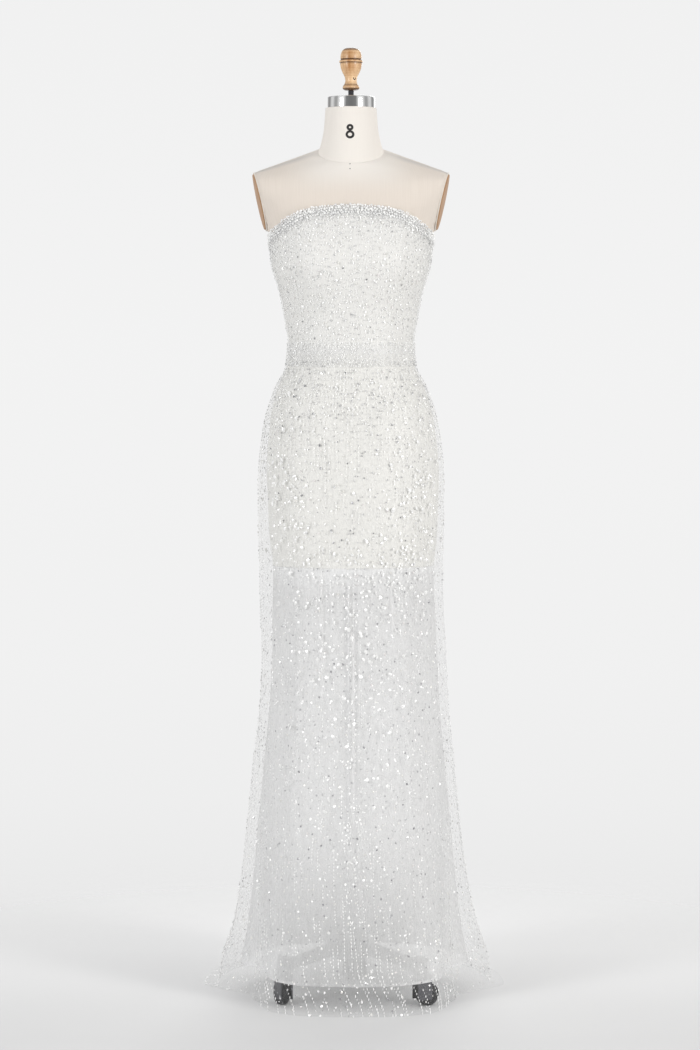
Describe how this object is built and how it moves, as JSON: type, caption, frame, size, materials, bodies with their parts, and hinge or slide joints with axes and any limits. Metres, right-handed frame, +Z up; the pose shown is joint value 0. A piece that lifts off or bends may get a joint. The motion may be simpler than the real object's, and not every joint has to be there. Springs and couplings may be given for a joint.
{
  "type": "mermaid prom dress on a castored dress form",
  "caption": "Strapless floor-length mermaid dress in beaded net over an ivory lining, with a short train, worn on a linen dress form on a castored stand.",
  "frame": {"origin": "the floor under the middle of the part's width and depth", "axes": "+Z up; -Y is the dress's front; +X is the wearer's left"},
  "size_m": [0.5734, 0.6665, 1.7737],
  "materials": {
    "beaded_net": "sheer white net with silver sequins and beads",
    "bead_trim": "dense pearl and silver beading on net",
    "lining_ivory": "opaque ivory lining, matte",
    "plain_net": "plain sheer net",
    "form_linen": "natural linen over a shell",
    "neck_cream": "cream cotton over a shell",
    "chrome": "polished",
    "knob_wood": "turned and varnished",
    "plate_tan": "stained board, satin",
    "dark_metal": "dark, satin",
    "base_iron": "painted grey, satin",
    "wheel_rubber": "black, matte",
    "zip_metal": "silver, polished"
  },
  "bodies": {
    "root": {"form_torso": "form_linen", "form_neck": "neck_cream", "neck_cap": "chrome", "knob_stem": "dark_metal", "knob": "knob_wood", "arm_plate_left": "plate_tan", "arm_plate_right": "plate_tan", "pole_collar": "dark_metal", "pole": "chrome", "base_hub": "base_iron", "base_leg_1": "base_iron", "caster_boss_1": "base_iron", "base_leg_2": "base_iron", "caster_boss_2": "base_iron", "base_leg_3": "base_iron", "caster_boss_3": "base_iron", "lining_front_left": "lining_ivory", "underskirt_front_left": "plain_net", "lining_front_right": "lining_ivory", "underskirt_front_right": "plain_net", "lining_side_left": "lining_ivory", "underskirt_side_left": "plain_net", "lining_side_right": "lining_ivory", "underskirt_side_right": "plain_net", "lining_back_left": "lining_ivory", "underskirt_back_left": "plain_net", "lining_back_right": "lining_ivory", "underskirt_back_right": "plain_net", "bodice_front": "beaded_net", "neckline_trim_front": "bead_trim", "waist_band_front": "bead_trim", "skirt_front": "beaded_net", "bodice_back_left": "beaded_net", "neckline_trim_back_left": "bead_trim", "waist_band_back_left": "bead_trim", "skirt_back_left": "beaded_net", "bodice_back_right": "beaded_net", "neckline_trim_back_right": "bead_trim", "waist_band_back_right": "bead_trim", "skirt_back_right": "beaded_net", "zip_slider": "zip_metal", "zip_bail": "zip_metal"},
    "fork_1": {"caster_stem_1": "dark_metal", "caster_fork_1": "dark_metal", "caster_axle_1": "dark_metal"},
    "wheel_1": {"caster_wheel_1": "wheel_rubber"},
    "fork_2": {"caster_stem_2": "dark_metal", "caster_fork_2": "dark_metal", "caster_axle_2": "dark_metal"},
    "wheel_2": {"caster_wheel_2": "wheel_rubber"},
    "fork_3": {"caster_stem_3": "dark_metal", "caster_fork_3": "dark_metal", "caster_axle_3": "dark_metal"},
    "wheel_3": {"caster_wheel_3": "wheel_rubber"},
    "zip_tab": {"zip_pull": "zip_metal"}
  },
  "joints": [
    {"name": "caster_swivel_1", "type": "hinge", "parent": "root", "child": "fork_1", "pos_m": [-0.1228, -0.224, 0.058], "axis": [0, 0, 1], "continuous": true},
    {"name": "caster_roll_1", "type": "hinge", "parent": "fork_1", "child": "wheel_1", "pos_m": [-0.12868, -0.21129, 0.021], "axis": [0.9075, 0.42, 0], "continuous": true},
    {"name": "caster_swivel_2", "type": "hinge", "parent": "root", "child": "fork_2", "pos_m": [0.128, -0.226, 0.058], "axis": [0, 0, 1], "continuous": true},
    {"name": "caster_roll_2", "type": "hinge", "parent": "fork_2", "child": "wheel_2", "pos_m": [0.1406, -0.2199, 0.021], "axis": [0.4359, -0.9, 0], "continuous": true},
    {"name": "caster_swivel_3", "type": "hinge", "parent": "root", "child": "fork_3", "pos_m": [0, 0.014, 0.058], "axis": [0, 0, 1], "continuous": true},
    {"name": "caster_roll_3", "type": "hinge", "parent": "fork_3", "child": "wheel_3", "pos_m": [0.01064, 0.0231, 0.021], "axis": [0.6499, -0.76, 0], "continuous": true},
    {"name": "zip_tab_swing", "type": "hinge", "parent": "root", "child": "zip_tab", "pos_m": [0, -0.03486, 1.36413], "axis": [1, 0, 0], "range_deg": [0, 160]}
  ]
}
